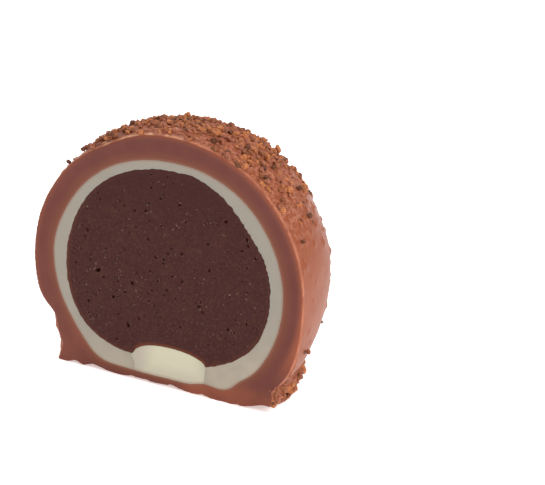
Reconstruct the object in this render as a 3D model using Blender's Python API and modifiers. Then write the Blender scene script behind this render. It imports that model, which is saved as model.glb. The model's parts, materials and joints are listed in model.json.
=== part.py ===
"""A cut chocolate praline, in metres with +Z up.

The praline is a ball of milk chocolate that set on a flat plate and kept a low, uneven foot there. One
straight stroke of a knife has taken off its front. Inside the milk chocolate is a ready-made hollow ball of
white chocolate. It was filled with dark ganache through a hole, which a plug of ivory chocolate closes, and
it lies with the plug at the bottom. Nougat crumbs stick to the top, thin out down the flank and gather again
on the foot.

The origin is on the flat base, right under the ball's centre, and the cut face looks along -Y.
"""

import math
import random

import bmesh
import bpy
from mathutils import Euler, Matrix, Vector, noise

MM = 0.001

# The ball, its foot and the knife's cut
BALL_RADIUS = 15.0 * MM
BALL_CENTRE = Vector((0.0, 0.0, 11.3 * MM))
CUT_DEPTH = 3.09 * MM            # from the ball's axis forward to the cut face
WAVE_HEIGHT = 0.10 * MM          # the dipped surface is a little uneven
WAVE_LENGTH = 6.0 * MM
FOOT_REACH = 12.2 * MM           # radius of the foot where nothing has run out further
FOOT_HEIGHT = 2.7 * MM
FOOT_EDGE = 1.1 * MM             # rounding of the foot's upper edge
FOOT_CONTACT = 0.4               # share of a run-out that touches the plate, as its edge stands off

# Where chocolate ran out further over the plate or less far: direction, half width and reach
FOOT_BUMPS = (
    (math.radians(-14.0), math.radians(15.0), 0.45 * MM),
    (math.radians(30.0), math.radians(28.0), 0.9 * MM),
    (math.radians(96.0), math.radians(26.0), 0.8 * MM),
    (math.radians(150.0), math.radians(20.0), 0.55 * MM),
    (math.radians(195.0), math.radians(24.0), -0.65 * MM),
)

# The hollow low on the left flank, where the coating broke off the plate
HOLLOW_CENTRE = Vector((-12.6 * MM, -3.3 * MM, 4.4 * MM))
HOLLOW_DEPTH = 0.95 * MM
HOLLOW_RADIUS = 1.9 * MM

# The fuller coating low on the right, where it sagged towards the plate
SAG_CENTRE = Vector((13.0 * MM, -3.1 * MM, 4.5 * MM))
SAG_HEIGHT = 0.60 * MM
SAG_RADIUS = 4.6 * MM

# The white chocolate ball and the ganache in it: each a ball with a flattened base
INNER_OFFSET = 0.15 * MM         # both sit a little to the right of the coating's axis
SHELL_RADIUS = 12.83 * MM
SHELL_CENTRE_Z = 11.22 * MM
SHELL_BASE_Z = 0.92 * MM
SHELL_CORNER = 3.5 * MM
GANACHE_RADIUS = 11.54 * MM
GANACHE_CENTRE_Z = 11.37 * MM
GANACHE_BASE_Z = 2.87 * MM
GANACHE_CORNER = 7.0 * MM
GANACHE_TILT = math.radians(-2.5)

# Where their outlines swell or are flatter: direction round the cut face from +X up, half width and height
SHELL_SWELLS = (
    (math.radians(92.0), math.radians(26.0), -0.31 * MM),
    (math.radians(173.0), math.radians(12.0), 0.17 * MM),
    (math.radians(217.0), math.radians(22.0), -0.50 * MM),
    (math.radians(-63.0), math.radians(7.0), -0.55 * MM),
    (math.radians(-46.0), math.radians(7.0), -0.28 * MM),
)
GANACHE_SWELLS = (
    (math.radians(38.0), math.radians(16.0), -0.42 * MM),
    (math.radians(76.0), math.radians(12.0), 0.14 * MM),
    (math.radians(130.0), math.radians(22.0), 0.20 * MM),
    (math.radians(-44.0), math.radians(17.0), -0.25 * MM),
)

# The plug in the shell's filling hole
PLUG_OFFSET = 1.12 * MM
PLUG_RADIUS = 4.87 * MM
PLUG_SHOULDER_Z = 3.07 * MM
PLUG_TOP_Z = 4.58 * MM

GAP = 0.3 * MM                   # between one kind of chocolate and the next

# The crumbs
CRUMB_SEED = 41
DOME_CRUMBS = 176                # those that show from a step away
FOOT_CRUMBS = 46
DOME_LARGEST = 0.46 * MM         # radius
FOOT_LARGEST = 0.52 * MM
CRUMB_SMALLEST = 0.24 * MM
FLANK_LARGEST = 0.28 * MM        # down the flank only small crumbs hold
FLANK_LEVEL = 0.60               # the flank's upper end, of the ball's radius above its centre
BARE_SIDE = Vector((-6.5 * MM, 0.0, 18.5 * MM))      # left of and below this the flank is bare
CRUMB_SPACING = 0.85             # of the sum of two neighbours' radii
CRUMB_PROUD = 0.20               # of a crumb's radius, by which its middle stands off the surface
CRUMB_ROUND = 0.38 * MM          # crumbs above this radius are many-sided, those below are blocks

BALL_SEGMENTS = 56
BALL_RINGS = 28
TURN_STEPS = 40
ARC_STEP = math.radians(15.0)


def new_collection(name):
    collection = bpy.data.collections.new(name)
    bpy.context.scene.collection.children.link(collection)
    return collection


def new_material(name, colour, roughness):
    material = bpy.data.materials.new(name)
    material.use_nodes = True
    shader = material.node_tree.nodes["Principled BSDF"]
    shader.inputs["Base Color"].default_value = (*colour, 1.0)
    shader.inputs["Roughness"].default_value = roughness
    shader.inputs["Metallic"].default_value = 0.0
    material.diffuse_color = (*colour, 1.0)
    return material


def arc(centre, radius, start, end):
    """Points on an arc in the plane of a profile, from the start angle to the end angle."""
    steps = max(2, math.ceil(abs(end - start) / ARC_STEP))
    angles = [start + (end - start) * step / steps for step in range(steps + 1)]
    return [(centre[0] + radius * math.cos(a), centre[1] + radius * math.sin(a)) for a in angles]


def flat_based_ball(radius, base, corner):
    """Profile of a ball about the origin with a flat base, which runs into the ball by a round corner."""
    corner_z = base + corner
    corner_r = math.sqrt((radius - corner) ** 2 - corner_z ** 2)
    tangent = math.atan2(corner_z, corner_r)
    side = arc((0.0, 0.0), radius, math.pi / 2, tangent)
    turn_in = arc((corner_r, corner_z), corner, tangent, -math.pi / 2)
    return [(0.0, radius)] + side[1:] + turn_in[1:] + [(0.0, base)]


def plug_profile(grow):
    """Profile of the plug, or of its hole where it is grown: a dome on straight sides, down to the plate."""
    radius = PLUG_RADIUS + grow
    rise = PLUG_TOP_Z - PLUG_SHOULDER_Z + grow
    base = 0.0
    dome = [(radius * r, PLUG_SHOULDER_Z + rise * z) for r, z in arc((0.0, 0.0), 1.0, math.pi / 2, 0.0)]
    return [(0.0, PLUG_SHOULDER_Z + rise)] + dome[1:] + [(radius, base), (0.0, base)]


def turned(name, profile, collection):
    """A solid of revolution. Its profile runs down the outer side, from the axis back to the axis."""
    mesh = bpy.data.meshes.new(name)
    edges = [(i, i + 1) for i in range(len(profile) - 1)]
    mesh.from_pydata([(r, 0.0, z) for r, z in profile], edges, [])
    piece = bpy.data.objects.new(name, mesh)
    collection.objects.link(piece)
    screw = piece.modifiers.new("turn", "SCREW")
    screw.steps = TURN_STEPS
    screw.render_steps = TURN_STEPS
    screw.use_merge_vertices = True
    screw.merge_threshold = 0.001 * MM
    return piece


def make_real(piece):
    """Replace an object's mesh by what its modifiers make of it."""
    depsgraph = bpy.context.evaluated_depsgraph_get()
    mesh = bpy.data.meshes.new_from_object(piece.evaluated_get(depsgraph))
    piece.modifiers.clear()
    piece.data = mesh


def boolean(piece, operation, cutter):
    change = piece.modifiers.new(cutter.name, "BOOLEAN")
    change.operation = operation
    change.object = cutter
    change.solver = "EXACT"


def as_cutter(piece):
    piece.hide_render = True
    piece.display_type = "WIRE"
    return piece


def knife_block(collection):
    """The block in front of the cut face, taken off by the knife."""
    bpy.ops.mesh.primitive_cube_add(size=1.0)
    block = bpy.context.object
    block.name = "knife_block"
    for owner in block.users_collection:
        owner.objects.unlink(block)
    collection.objects.link(block)
    side = 4 * BALL_RADIUS
    block.data.transform(Matrix.Scale(side, 4))
    block.location = (0.0, -CUT_DEPTH - side / 2, 0.0)
    return as_cutter(block)


def wave(point):
    """Uneven thickness of the coating at a point of its surface."""
    return WAVE_HEIGHT * noise.noise(point / WAVE_LENGTH)


def hollow(point):
    """Depth of the hollow low on the left flank, less the height of the sag on the right."""
    away = (point - HOLLOW_CENTRE).length / HOLLOW_RADIUS
    from_sag = (point - SAG_CENTRE).length / SAG_RADIUS
    return HOLLOW_DEPTH * math.exp(-away * away) - SAG_HEIGHT * math.exp(-from_sag * from_sag)


def ball_point(direction):
    """The point of the coated ball that lies in a direction from its centre."""
    point = BALL_CENTRE + direction * BALL_RADIUS
    return point + direction * (wave(point) - hollow(point))


def turn_between(angle, other):
    """The smallest turn from one direction to another."""
    return (angle - other + math.pi) % (2 * math.pi) - math.pi


def foot_reach(angle):
    """Radius of the foot in a direction round the axis."""
    reach = FOOT_REACH
    for bump_angle, half_width, height in FOOT_BUMPS:
        turn = turn_between(angle, bump_angle) / half_width
        reach += height * math.exp(-turn * turn)
    edge = Vector((math.cos(angle), math.sin(angle), 0.0)) * FOOT_REACH
    return reach + 2 * WAVE_HEIGHT * noise.noise(edge / (0.4 * WAVE_LENGTH))


def foot_run_out(angle, height):
    """How far the foot stands out beyond its plain radius, in a direction and at a height."""
    share = min(1.0, FOOT_CONTACT + (1.0 - FOOT_CONTACT) * height / (FOOT_HEIGHT - FOOT_EDGE))
    return share * (foot_reach(angle) - FOOT_REACH)


def coated_ball(collection):
    """The ball of milk chocolate, down to the plate."""
    mesh = bpy.data.meshes.new("milk_coating")
    shape = bmesh.new()
    bmesh.ops.create_uvsphere(shape, u_segments=BALL_SEGMENTS, v_segments=BALL_RINGS, radius=1.0)
    for vert in shape.verts:
        vert.co = ball_point(vert.co.normalized())
    below = bmesh.ops.bisect_plane(
        shape,
        geom=shape.verts[:] + shape.edges[:] + shape.faces[:],
        dist=1e-7,
        plane_co=(0.0, 0.0, 0.0),
        plane_no=(0.0, 0.0, -1.0),
        clear_outer=True,
    )
    rim = [item for item in below["geom_cut"] if isinstance(item, bmesh.types.BMEdge)]
    bmesh.ops.contextual_create(shape, geom=rim)
    bmesh.ops.recalc_face_normals(shape, faces=shape.faces)
    shape.to_mesh(mesh)
    shape.free()
    ball = bpy.data.objects.new("milk_coating", mesh)
    collection.objects.link(ball)
    return ball


def foot(collection):
    """The chocolate that ran out on the plate round the ball."""
    inside = FOOT_REACH - 4 * MM
    edge_centre = (FOOT_REACH - FOOT_EDGE, FOOT_HEIGHT - FOOT_EDGE)
    profile = [(0.0, FOOT_HEIGHT), (inside, FOOT_HEIGHT)]
    profile += arc(edge_centre, FOOT_EDGE, math.radians(80.0), 0.0)
    profile += [(FOOT_REACH, 0.0), (0.0, 0.0)]
    piece = turned("foot", profile, collection)
    make_real(piece)
    for vert in piece.data.vertices:
        radius = math.hypot(vert.co.x, vert.co.y)
        if radius > inside + 1 * MM:
            angle = math.atan2(vert.co.y, vert.co.x)
            stretch = 1.0 + foot_run_out(angle, vert.co.z) / radius
            vert.co.x *= stretch
            vert.co.y *= stretch
    return as_cutter(piece)


def crumb_sizes(count, largest):
    """Radii from the largest crumb to the smallest, with few large ones."""
    spread = largest - CRUMB_SMALLEST
    return [CRUMB_SMALLEST + spread * (1.0 - i / count) ** 2 for i in range(count)]


def dome_density(direction):
    """Share of the crumbs thrown in a direction that stick: most on the top, fewer on its left, few below."""
    on_top = 1.0 / (1.0 + math.exp((FLANK_LEVEL - direction.z) * 10.0))
    on_left = 1.0 / (1.0 + math.exp((direction.x + 0.22) * 12.0))
    return 0.04 + 0.96 * on_top * (1.0 - 0.6 * on_left)


def dome_place(rng):
    """A random point of the ball where a crumb sticks, with the direction in which it stands off."""
    while True:
        direction = Vector((rng.gauss(0.0, 1.0), rng.gauss(0.0, 1.0), rng.gauss(0.0, 1.0))).normalized()
        point = ball_point(direction)
        if point.z > FOOT_HEIGHT + 1 * MM and rng.random() < dome_density(direction):
            return point, direction


def foot_place(rng):
    """A random point on the side of the foot, most at the right front, with the direction it faces."""
    angle = -0.25 + (math.pi + 0.1) * rng.random() ** 1.6
    height = rng.uniform(0.3, 0.95) * FOOT_HEIGHT
    outward = Vector((math.cos(angle), math.sin(angle), 0.0))
    over_edge = max(0.0, height - FOOT_HEIGHT + FOOT_EDGE)
    set_back = FOOT_EDGE - math.sqrt(FOOT_EDGE ** 2 - over_edge ** 2)
    radius = FOOT_REACH + foot_run_out(angle, height) - set_back
    point = outward * radius + Vector((0.0, 0.0, height))
    return point, (outward + Vector((0.0, 0.0, over_edge / FOOT_EDGE))).normalized()


def holds(point, direction, radius):
    """Whether a crumb of a radius is rooted behind the cut, and not too large or too low for its place."""
    behind_cut = point.y > -CUT_DEPTH + 0.3 * radius
    bare = point.x < BARE_SIDE.x and point.z < BARE_SIDE.z
    on_flank = point.z > FOOT_HEIGHT and direction.z < FLANK_LEVEL
    return behind_cut and not bare and (radius < FLANK_LARGEST or not on_flank)


def crumb_places(rng):
    """Points, directions and radii of the crumbs, each clear of those before it and rooted behind the cut."""
    places = []
    throws = ((dome_place, DOME_CRUMBS, DOME_LARGEST), (foot_place, FOOT_CRUMBS, FOOT_LARGEST))
    for throw, count, largest in throws:
        for radius in crumb_sizes(count, largest):
            for attempt in range(60):
                point, direction = throw(rng)
                if holds(point, direction, radius) and all(
                    (point - other).length > CRUMB_SPACING * (radius + other_radius)
                    for other, away, other_radius in places
                ):
                    places.append((point, direction, radius))
                    break
    return places


def crumb(index, place, rng, collection):
    """One angular crumb, sunk into the surface that it sticks to."""
    point, direction, radius = place
    shape = bmesh.new()
    if radius > CRUMB_ROUND:
        bmesh.ops.create_icosphere(shape, subdivisions=1, radius=1.0)
    else:
        bmesh.ops.create_cube(shape, size=1.25)
    stretch = Vector((rng.uniform(0.8, 1.25), rng.uniform(0.8, 1.25), rng.uniform(0.75, 1.1)))
    turn = Euler([rng.uniform(0.0, 2 * math.pi) for axis in range(3)]).to_matrix()
    middle = point + direction * CRUMB_PROUD * radius
    for vert in shape.verts:
        corner = vert.co * rng.uniform(0.78, 1.1)
        vert.co = middle + turn @ (corner * stretch) * radius
    mesh = bpy.data.meshes.new("crumb")
    shape.to_mesh(mesh)
    shape.free()
    piece = bpy.data.objects.new("crumb_%03d" % index, mesh)
    collection.objects.link(piece)


def fuse_crumbs(coating):
    """Fuse the crumbs to the coating by one union, then drop the loose ones."""
    rng = random.Random(CRUMB_SEED)
    crumbs = new_collection("crumbs")
    for index, place in enumerate(crumb_places(rng)):
        crumb(index, place, rng, crumbs)
    union = coating.modifiers.new("crumbs", "BOOLEAN")
    union.operation = "UNION"
    union.operand_type = "COLLECTION"
    union.collection = crumbs
    union.solver = "MANIFOLD"
    make_real(coating)
    for piece in list(crumbs.objects):
        bpy.data.objects.remove(piece)
    bpy.data.collections.remove(crumbs)


def swell(place, swells):
    """How far an outline swells in the direction of a place from its ball's centre."""
    angle = math.atan2(place.z, place.x)
    from_axis = math.hypot(place.x, place.z) / place.length
    total = 0.0
    for swell_angle, half_width, height in swells:
        turn = turn_between(angle, swell_angle) / half_width
        total += height * math.exp(-turn * turn)
    return total * from_axis


def inner_ball(name, layer, grow, collection):
    """The white shell or the ganache, or the hollow for it where it is grown."""
    radius, centre_z, base_z, corner, tilt, swells = layer
    profile = flat_based_ball(radius + grow, base_z - centre_z - grow, corner)
    piece = turned(name, profile, collection)
    make_real(piece)
    for vert in piece.data.vertices:
        vert.co += vert.co.normalized() * swell(vert.co, swells)
    piece.location = (INNER_OFFSET, 0.0, centre_z)
    piece.rotation_euler = (0.0, tilt, 0.0)
    return piece


def finish(piece, material):
    """Round shading with sharp edges at the cut, and the piece's own material."""
    piece.data.materials.clear()
    piece.data.materials.append(material)
    piece.data.shade_smooth()
    piece.data.set_sharp_from_angle(angle=math.radians(35.0))


def build():
    for old in list(bpy.data.objects):
        bpy.data.objects.remove(old)
    parts = new_collection("praline")
    cutters = new_collection("cutters")

    shell_layer = (SHELL_RADIUS, SHELL_CENTRE_Z, SHELL_BASE_Z, SHELL_CORNER, 0.0, SHELL_SWELLS)
    ganache_layer = (
        GANACHE_RADIUS, GANACHE_CENTRE_Z, GANACHE_BASE_Z, GANACHE_CORNER, GANACHE_TILT, GANACHE_SWELLS)
    half_gap = GAP / 2

    knife = knife_block(cutters)
    shell_seat = as_cutter(inner_ball("shell_seat", shell_layer, half_gap, cutters))
    shell_form = as_cutter(inner_ball("shell_form", shell_layer, -half_gap, cutters))
    ganache_seat = as_cutter(inner_ball("ganache_seat", ganache_layer, half_gap, cutters))
    plug_hole = as_cutter(turned("plug_hole", plug_profile(half_gap), cutters))
    plug_hole.location.x = PLUG_OFFSET

    coating = coated_ball(parts)
    boolean(coating, "UNION", foot(cutters))
    make_real(coating)
    fuse_crumbs(coating)
    boolean(coating, "DIFFERENCE", shell_seat)
    boolean(coating, "DIFFERENCE", knife)

    shell = inner_ball("white_shell", shell_layer, -half_gap, parts)
    boolean(shell, "DIFFERENCE", ganache_seat)
    boolean(shell, "DIFFERENCE", plug_hole)
    boolean(shell, "DIFFERENCE", knife)

    ganache = inner_ball("ganache", ganache_layer, -half_gap, parts)
    boolean(ganache, "DIFFERENCE", plug_hole)
    boolean(ganache, "DIFFERENCE", knife)

    plug = turned("base_plug", plug_profile(-half_gap), parts)
    plug.location.x = PLUG_OFFSET
    boolean(plug, "INTERSECT", shell_form)
    boolean(plug, "DIFFERENCE", knife)

    finish(coating, new_material("milk_chocolate", (0.27, 0.095, 0.055), 0.42))
    finish(shell, new_material("white_chocolate", (0.62, 0.53, 0.42), 0.45))
    finish(ganache, new_material("dark_ganache", (0.075, 0.028, 0.022), 0.55))
    finish(plug, new_material("ivory_chocolate", (0.72, 0.64, 0.42), 0.42))


build()
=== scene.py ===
"""Looks of a cut chocolate praline, laid out as an add-on and run as a script.

The solids of the frame are replaced, kind by kind, by fine meshes in the same places: the dipped milk
chocolate with its foot, the nougat crumbs on it, the white chocolate shell, the ganache with its pits and
grains, and the ivory plug. The frame's origin is on the flat base, under the ball's centre, and the cut face
looks along -Y.
"""

import functools
import json
import math
import random

import bmesh
import bpy
import numpy as np
from mathutils import Euler, Matrix, Vector, kdtree, noise

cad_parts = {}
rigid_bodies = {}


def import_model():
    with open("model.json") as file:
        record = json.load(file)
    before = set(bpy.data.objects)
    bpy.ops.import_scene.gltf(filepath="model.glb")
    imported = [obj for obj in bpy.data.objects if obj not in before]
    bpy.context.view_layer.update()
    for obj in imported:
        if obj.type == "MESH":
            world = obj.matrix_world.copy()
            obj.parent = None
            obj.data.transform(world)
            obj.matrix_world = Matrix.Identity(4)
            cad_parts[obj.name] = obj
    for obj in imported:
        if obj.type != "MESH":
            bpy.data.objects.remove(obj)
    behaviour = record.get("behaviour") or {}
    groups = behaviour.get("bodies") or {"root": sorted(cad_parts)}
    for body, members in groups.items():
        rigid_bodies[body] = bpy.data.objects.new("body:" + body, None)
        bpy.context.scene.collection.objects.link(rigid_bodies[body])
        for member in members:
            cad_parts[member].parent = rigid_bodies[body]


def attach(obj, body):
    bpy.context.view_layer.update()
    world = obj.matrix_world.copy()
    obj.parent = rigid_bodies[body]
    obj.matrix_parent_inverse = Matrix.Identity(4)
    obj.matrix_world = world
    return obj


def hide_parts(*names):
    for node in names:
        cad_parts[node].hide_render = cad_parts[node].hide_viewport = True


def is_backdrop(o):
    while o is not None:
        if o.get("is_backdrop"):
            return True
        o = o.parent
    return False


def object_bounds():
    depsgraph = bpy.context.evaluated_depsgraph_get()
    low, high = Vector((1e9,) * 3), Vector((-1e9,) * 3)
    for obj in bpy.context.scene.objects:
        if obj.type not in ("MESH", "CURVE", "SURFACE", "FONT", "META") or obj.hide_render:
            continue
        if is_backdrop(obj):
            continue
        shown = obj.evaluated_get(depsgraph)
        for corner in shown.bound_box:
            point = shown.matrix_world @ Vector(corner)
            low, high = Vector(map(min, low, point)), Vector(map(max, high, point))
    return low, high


for startup_object in list(bpy.data.objects):
    bpy.data.objects.remove(startup_object)
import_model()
SOLID_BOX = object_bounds()

bl_info = {
    "name": "Cut praline",
    "version": (1, 0, 0),
    "blender": (4, 5, 0),
    "location": "3D View > Sidebar > Praline",
    "description": "Builds the finished look of a cut chocolate praline round its solids",
    "category": "Add Mesh",
}

MM = 0.001


def at_mm(x, y, z):
    """A place given in millimetres."""
    return Vector((x * MM, y * MM, z * MM))


def swells(*rows):
    """Swells of an outline, from direction and half width in degrees and height in millimetres."""
    return [(math.radians(angle), math.radians(width), height * MM) for angle, width, height in rows]


# The ball, its foot and the knife's cut, as in the solids
BALL_RADIUS = 15.0 * MM
BALL_CENTRE = at_mm(0.0, 0.0, 11.3)
CUT_DEPTH = 3.09 * MM
WAVE_HEIGHT = 0.10 * MM
WAVE_LENGTH = 6.0 * MM
FOOT_REACH = 12.2 * MM
FOOT_HEIGHT = 2.7 * MM
FOOT_EDGE = 1.1 * MM
FOOT_CONTACT = 0.4
FOOT_BUMPS = swells(
    (-14.0, 15.0, 0.45), (30.0, 28.0, 0.9), (96.0, 26.0, 0.8), (150.0, 20.0, 0.55), (195.0, 24.0, -0.65))
HOLLOW_CENTRE = at_mm(-12.6, -3.3, 4.4)
HOLLOW_DEPTH = 0.95 * MM
HOLLOW_RADIUS = 1.9 * MM
SAG_CENTRE = at_mm(13.0, -3.1, 4.5)
SAG_HEIGHT = 0.60 * MM
SAG_RADIUS = 4.6 * MM

# The shell, the ganache and the plug, as in the solids
INNER_OFFSET = 0.15 * MM
SHELL_SWELLS = swells(
    (92.0, 26.0, -0.31), (173.0, 12.0, 0.17), (217.0, 22.0, -0.50), (-63.0, 7.0, -0.55), (-46.0, 7.0, -0.28))
GANACHE_SWELLS = swells((38.0, 16.0, -0.42), (76.0, 12.0, 0.14), (130.0, 22.0, 0.20), (-44.0, 17.0, -0.25))
PLUG_OFFSET = 1.12 * MM
PLUG_RADIUS = 4.87 * MM
PLUG_SHOULDER_Z = 3.07 * MM
PLUG_TOP_Z = 4.58 * MM
PLUG_SLOPE = 0.7 * MM            # how far its left shoulder slopes out

# The large crumbs, placed by the rule of the solids
CRUMB_SEED = 41
DOME_CRUMBS = 176
FOOT_CRUMBS = 46
DOME_LARGEST = 0.46 * MM
FOOT_LARGEST = 0.52 * MM
CRUMB_SMALLEST = 0.24 * MM
FLANK_LARGEST = 0.28 * MM
FLANK_LEVEL = 0.60
BARE_SIDE = at_mm(-6.5, 0.0, 18.5)
CRUMB_SPACING = 0.85
CRUMB_PROUD = 0.20

# The fine crumbs, and the crumbs that chocolate covers
FINE_SEED = 42
COVERED_SEED = 48
FINE_LEVEL = 0.76                # above this share of the ball's radius most of the fine ones lie
LOW_SHARE = 0.12                 # share of the fine ones thrown far below that level that stick
ON_FOOT_SHARE = 0.10
IN_CLUMPS_SHARE = 0.62

# Kinds of crumbs, and their shares on the top, on the flank and on the foot
CRUMB_KINDS = ("crumbs_dark", "crumbs_brown", "crumbs_amber", "crumbs_coated")
TOP_SHARES = (0.07, 0.28, 0.33, 0.32)
LOW_SHARES = (0.35, 0.45, 0.05, 0.15)
FOOT_SHARES = (0.12, 0.26, 0.17, 0.45)

# Crumbs that stand out in the photograph, and stand out further: place and radius in millimetres, and kind
SEEN_PROUD = 0.55
SEEN_CRUMBS = (
    ((6.65, 6.61, 23.07), 0.50, "crumbs_amber"),
    ((2.12, 5.41, 25.18), 0.34, "crumbs_dark"),
    ((3.81, -1.88, 25.74), 0.36, "crumbs_dark"),
    ((-1.05, 2.12, 26.16), 0.42, "crumbs_amber"),
    ((-0.46, 2.43, 26.15), 0.30, "crumbs_brown"),
    ((3.73, 6.01, 24.59), 0.34, "crumbs_brown"),
    ((5.23, 6.18, 23.99), 0.40, "crumbs_amber"),
    ((8.76, 1.22, 23.47), 0.26, "crumbs_dark"),
    ((10.92, 2.63, 21.31), 0.30, "crumbs_dark"),
    ((13.45, -1.68, 17.84), 0.24, "crumbs_dark"),
    ((12.69, 1.46, 19.26), 0.26, "crumbs_dark"),
    ((6.28, 0.20, 24.98), 0.34, "crumbs_dark"),
    ((3.22, -0.55, 25.99), 0.44, "crumbs_amber"),
    ((7.91, 1.39, 24.03), 0.42, "crumbs_amber"),
    ((6.49, -0.81, 24.85), 0.38, "crumbs_brown"),
    ((-6.75, -2.50, 24.45), 0.40, "crumbs_dark"),
    ((-8.20, -2.40, 23.65), 0.28, "crumbs_brown"),
    ((-9.60, -2.60, 22.55), 0.27, "crumbs_dark"),
    ((-11.20, -2.60, 20.95), 0.24, "crumbs_dark"),
    ((13.98, 3.63, 7.83), 0.18, "crumbs_dark"),
    ((13.80, 3.01, 6.89), 0.18, "crumbs_dark"),
)

# Where the base's front edge arches off the plate: place along X, half width and height in millimetres
BASE_ARCHES = (
    (-9.5, 0.60, 0.34), (-7.1, 0.95, 0.34), (-2.4, 1.60, 0.22), (1.2, 1.70, 0.24), (4.8, 0.45, 0.20),
    (11.7, 1.70, 0.75),
)
ARCH_DEPTH = 2.5 * MM            # how far back from the cut the arches reach

# Drops and steps in the coating beside the cut: X, Z, half width and how far they stand out, in millimetres
COATING_DROPS = (
    (-13.1, 5.35, 0.30, 0.22), (-12.0, 3.60, 0.45, 0.30), (-11.4, 1.50, 0.45, 0.26), (11.8, 0.60, 0.45, 0.28),
    (11.9, 1.50, 0.40, 0.30), (12.2, 2.35, 0.45, 0.30), (13.0, 3.40, 0.50, 0.26), (13.7, 4.50, 0.60, 0.22),
    (14.2, 5.60, 0.60, 0.12), (-4.3, 25.20, 0.90, 0.14), (-2.9, 25.70, 1.00, 0.24), (-1.5, 26.00, 1.00, 0.28),
    (0.2, 26.10, 1.00, 0.30), (1.9, 26.00, 1.00, 0.27), (3.6, 25.60, 1.00, 0.22), (5.2, 25.10, 1.00, 0.24),
    (6.6, 24.50, 1.00, 0.24), (7.8, 23.80, 0.80, 0.14),
)

# Where the coating is thin on the left shoulder, beside the cut
DENT_CENTRE = at_mm(-7.1, -3.1, 24.1)
DENT_DEPTH = 0.32 * MM
DENT_RADIUS = 2.8 * MM

# The largest pits of the ganache, as seen: X, height over PIT_LEVEL and radius in millimetres
PIT_LEVEL = 0.27
SEEN_PITS = (
    (-7.4, 10.4, 0.34), (-3.75, 5.4, 0.24), (-1.6, 11.6, 0.20), (0.75, 11.6, 0.20),
    (4.4, 15.75, 0.22), (0.6, 14.4, 0.20), (-8.75, 14.4, 0.24), (8.6, 16.4, 0.24),
    (6.1, 18.4, 0.22), (-0.9, 19.25, 0.20), (-4.5, 13.25, 0.22), (-3.5, 9.9, 0.20),
    (-5.5, 8.0, 0.20), (7.1, 7.5, 0.24), (4.25, 8.6, 0.20), (-8.25, 6.9, 0.22),
)
PIT_SEED = 19
PIT_SHAPE_SEED = 23
ABOVE_PLUG = 5.2 * MM            # from this height on, pits and grains may lie anywhere
GRAIN_SEED = 31
BESIDE_PITS_SHARE = 0.55
GRAIN_COLOUR = (0.165, 0.078, 0.062)

# How finely the visible surfaces are divided
SKIN_STEP = 0.195 * MM
KNIFE_STEP = 0.125 * MM
BASE_RINGS = 34
INNER_COLUMNS = 720
PLUG_COLUMNS = 240
HAIRLINE = 0.004 * MM            # between two kinds of chocolate, too thin to see

# The camera that fits the photograph's outlines
IMAGE_WIDTH, IMAGE_HEIGHT = 545, 485
FOCAL_PIXELS = 1800.0
SENSOR_MM = 36.0
CAMERA_TARGET = at_mm(8.87, 2.24, 15.49)
CAMERA_DISTANCE = 175.35 * MM


def length_property(name, description, default):
    """A length, with its default in millimetres."""
    return bpy.props.FloatProperty(name=name, description=description, default=default * MM, unit="LENGTH")


def count_property(name, description, default):
    """A number of pieces."""
    return bpy.props.IntProperty(name=name, description=description, default=default, min=0)


def colour_property(name, description, *default):
    """A colour of a finish, as linear light."""
    return bpy.props.FloatVectorProperty(
        name=name, description=description, default=default, subtype="COLOR", size=3, min=0.0, max=1.0)


def angle_property(name, description, default):
    """A turn, with its default in degrees."""
    return bpy.props.FloatProperty(
        name=name, description=description, default=math.radians(default), subtype="ANGLE")


def light_property(name, description, default):
    """The strength of a light."""
    return bpy.props.FloatProperty(name=name, description=description, default=default, min=0.0)


class PralineSizes(bpy.types.PropertyGroup):
    """Sizes of the fine forms that the solids leave out."""

    ripple: length_property("Ripple", "Height of the soft ripples in the dipped surface", 0.035)
    cut_edge: length_property("Cut edge", "Rounding of the coating's edge at the cut face", 0.22)
    knife_drag: length_property("Knife drag", "Unevenness that the knife left in the cut face", 0.030)
    ragged: length_property("Ragged edge", "Unevenness of the line between ganache and shell", 0.10)
    base_lift: length_property("Base lift", "Height of the small notches under the flat base", 0.20)
    covered_crumbs: count_property("Covered crumbs", "Crumbs under the chocolate, which show as bumps", 1900)
    fine_crumbs: count_property("Fine crumbs", "Crumbs finer than those of the solids", 1700)
    pits: count_property("Pits", "Small pits in the cut ganache", 230)
    grains: count_property("Grains", "Pale grains that show in the cut ganache", 620)


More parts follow.
